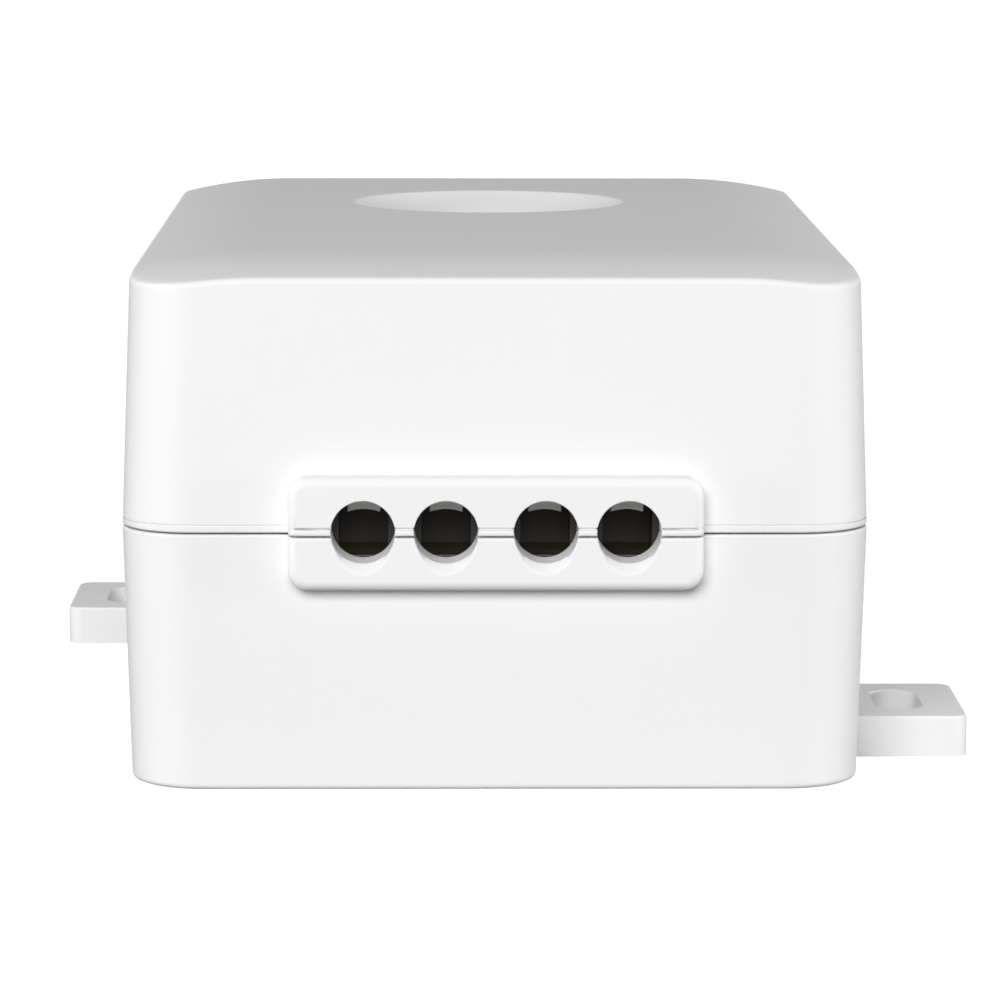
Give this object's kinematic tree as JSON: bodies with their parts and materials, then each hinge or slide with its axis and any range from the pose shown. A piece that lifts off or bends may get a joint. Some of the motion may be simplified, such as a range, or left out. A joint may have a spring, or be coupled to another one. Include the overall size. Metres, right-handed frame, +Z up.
{
  "type": "touch switch module",
  "caption": "Two-shell plastic touch switch box with a finger dish on top, round wire entries with screw terminals at the front and slotted fixing lugs at the foot.",
  "frame": {"origin": "middle of the foot's rectangle, on the surface that the box stands on", "axes": "+Z up, -Y out of the front with the wire entries, +X to the right seen from the front"},
  "size_m": [0.0598, 0.074, 0.0322],
  "materials": {
    "white_plastic": "fine satin",
    "black_plastic": "matt",
    "relay_plastic": "satin",
    "yellow_plastic": "gloss",
    "varistor_lacquer": "lacquer",
    "capacitor_sleeve": "gloss",
    "board_laminate": "solder mask",
    "radio_laminate": "solder mask",
    "steel": "plated",
    "brass": "tinned",
    "copper_alloy": "bright"
  },
  "bodies": {
    "base": {"base_shell": "white_plastic", "case_screws": "steel", "circuit_board": "board_laminate", "terminal_block_left": "black_plastic", "terminal_block_right": "black_plastic", "contact_frame_1": "brass", "contact_frame_2": "brass", "contact_frame_3": "brass", "contact_frame_4": "brass", "relay": "relay_plastic", "power_module": "black_plastic", "suppression_capacitor": "yellow_plastic", "varistor": "varistor_lacquer", "thermal_fuse": "black_plastic", "bulk_capacitor": "capacitor_sleeve", "radio_board": "radio_laminate", "radio_shield": "steel", "touch_controller": "black_plastic", "touch_spring": "steel"},
    "cover": {"top_cover": "white_plastic", "touch_electrode": "copper_alloy"},
    "clamp_1": {"clamp_leaf_1": "steel"},
    "screw_1": {"terminal_screw_1": "steel"},
    "clamp_2": {"clamp_leaf_2": "steel"},
    "screw_2": {"terminal_screw_2": "steel"},
    "clamp_3": {"clamp_leaf_3": "steel"},
    "screw_3": {"terminal_screw_3": "steel"},
    "clamp_4": {"clamp_leaf_4": "steel"},
    "screw_4": {"terminal_screw_4": "steel"}
  },
  "joints": [
    {"name": "cover_lift", "type": "slide", "parent": "base", "child": "cover", "axis": [0, 0, 1], "range_m": [0, 0.03]},
    {"name": "clamp_travel_1", "type": "slide", "parent": "base", "child": "clamp_1", "axis": [0, 0, -1], "range_m": [0, 0.0021]},
    {"name": "screw_turn_1", "type": "hinge", "parent": "clamp_1", "child": "screw_1", "pos_m": [-0.008, -0.03125, 0.018], "axis": [0, 0, -1], "range_deg": [0, 1679]},
    {"name": "clamp_travel_2", "type": "slide", "parent": "base", "child": "clamp_2", "axis": [0, 0, -1], "range_m": [0, 0.0021]},
    {"name": "screw_turn_2", "type": "hinge", "parent": "clamp_2", "child": "screw_2", "pos_m": [-0.003, -0.03125, 0.018], "axis": [0, 0, -1], "range_deg": [0, 1679]},
    {"name": "clamp_travel_3", "type": "slide", "parent": "base", "child": "clamp_3", "axis": [0, 0, -1], "range_m": [0, 0.0021]},
    {"name": "screw_turn_3", "type": "hinge", "parent": "clamp_3", "child": "screw_3", "pos_m": [0.003, -0.03125, 0.018], "axis": [0, 0, -1], "range_deg": [0, 1679]},
    {"name": "clamp_travel_4", "type": "slide", "parent": "base", "child": "clamp_4", "axis": [0, 0, -1], "range_m": [0, 0.0021]},
    {"name": "screw_turn_4", "type": "hinge", "parent": "clamp_4", "child": "screw_4", "pos_m": [0.008, -0.03125, 0.018], "axis": [0, 0, -1], "range_deg": [0, 1679]}
  ],
  "couplings": [
    {"joint": "screw_turn_1", "follows": "clamp_travel_1", "rad_per_m": 13963},
    {"joint": "screw_turn_2", "follows": "clamp_travel_2", "rad_per_m": 13963},
    {"joint": "screw_turn_3", "follows": "clamp_travel_3", "rad_per_m": 13963},
    {"joint": "screw_turn_4", "follows": "clamp_travel_4", "rad_per_m": 13963}
  ]
}
